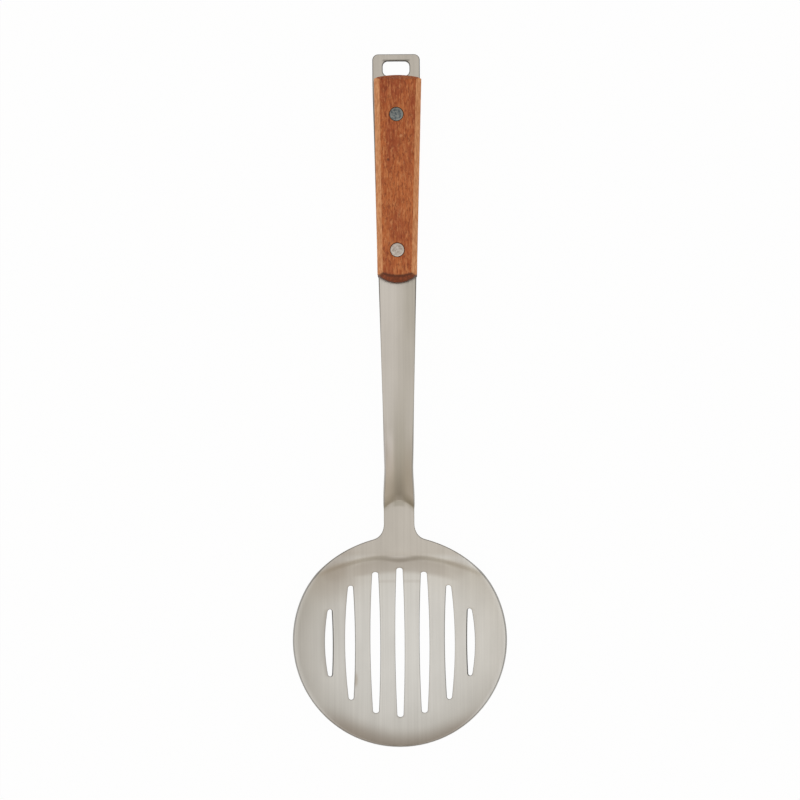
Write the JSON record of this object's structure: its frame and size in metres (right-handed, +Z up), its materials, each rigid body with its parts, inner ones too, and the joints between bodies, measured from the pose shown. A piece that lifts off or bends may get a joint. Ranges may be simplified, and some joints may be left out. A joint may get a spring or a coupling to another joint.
{
  "type": "slotted skimmer",
  "caption": "Slotted stainless kitchen skimmer with a round hollow dish, a fluted shank, riveted wooden handle scales and a hanging slot, for lifting food out of hot liquid.",
  "frame": {"origin": "on the surface that the skimmer lies on, below the middle of its length, hollow side of the dish up", "axes": "+Y along the handle towards the hanging tab, +Z up out of the hollow of the dish, +X across to the right"},
  "size_m": [0.11, 0.3561, 0.0245],
  "materials": {
    "brushed_stainless": "brushed along the handle, warm grey",
    "scale_wood": "oiled red-brown hardwood with short flecks",
    "rivet_steel": "ground flush with the wood"
  },
  "bodies": {
    "root": {"skimmer_body": "brushed_stainless", "front_scale": "scale_wood", "back_scale": "scale_wood", "lower_rivet_post": "rivet_steel", "lower_rivet_socket": "rivet_steel", "upper_rivet_post": "rivet_steel", "upper_rivet_socket": "rivet_steel"}
  },
  "joints": []
}
